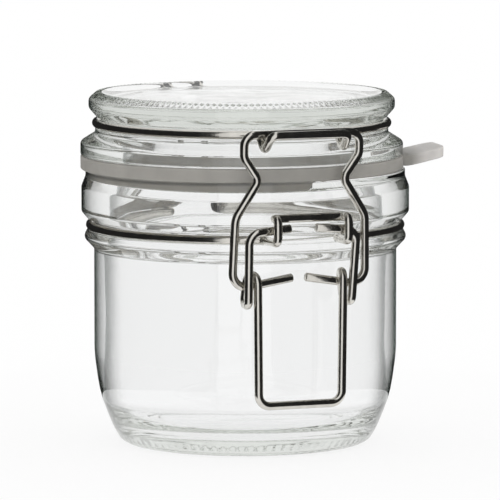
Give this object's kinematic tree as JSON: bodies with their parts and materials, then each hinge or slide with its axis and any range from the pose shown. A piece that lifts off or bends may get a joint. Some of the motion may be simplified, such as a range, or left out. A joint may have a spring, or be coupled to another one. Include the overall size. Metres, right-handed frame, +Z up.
{
  "type": "clip-top jar",
  "caption": "Low round glass preserving jar with a glass lid, a silicone sealing ring with a pull tab, and a hinged wire clip closure.",
  "frame": {"origin": "centre of the foot, on the surface the jar stands on", "axes": "+Z up along the jar's axis, -Y towards the wire clip, +Y towards the lid's hinge, +X towards the pull tab's side"},
  "size_m": [0.107, 0.1121, 0.103],
  "materials": {
    "glass": "clear pressed glass with a faint green tint in thick edges",
    "silicone": "satin grey-beige translucent silicone",
    "steel_wire": "drawn round wire, bright"
  },
  "bodies": {
    "base": {"jar": "glass", "neck_wire": "steel_wire"},
    "lid": {"lid": "glass", "seal": "silicone", "lid_wire": "steel_wire"},
    "lever": {"lever": "steel_wire"},
    "bail": {"bail": "steel_wire"}
  },
  "joints": [
    {"name": "lid_hinge", "type": "hinge", "parent": "base", "child": "lid", "pos_m": [0, 0.0523, 0.06685], "axis": [-1, 0, 0], "range_deg": [0, 110]},
    {"name": "lever_hinge", "type": "hinge", "parent": "base", "child": "lever", "pos_m": [0, -0.0516, 0.06735], "axis": [-1, 0, 0], "range_deg": [0, 78]},
    {"name": "bail_hinge", "type": "hinge", "parent": "lever", "child": "bail", "pos_m": [0, -0.0469, 0.0513], "axis": [-1, 0, 0], "range_deg": [-55, 0]}
  ],
  "couplings": [
    {"joint": "bail_hinge", "follows": "lever_hinge", "ratio": -0.635}
  ]
}
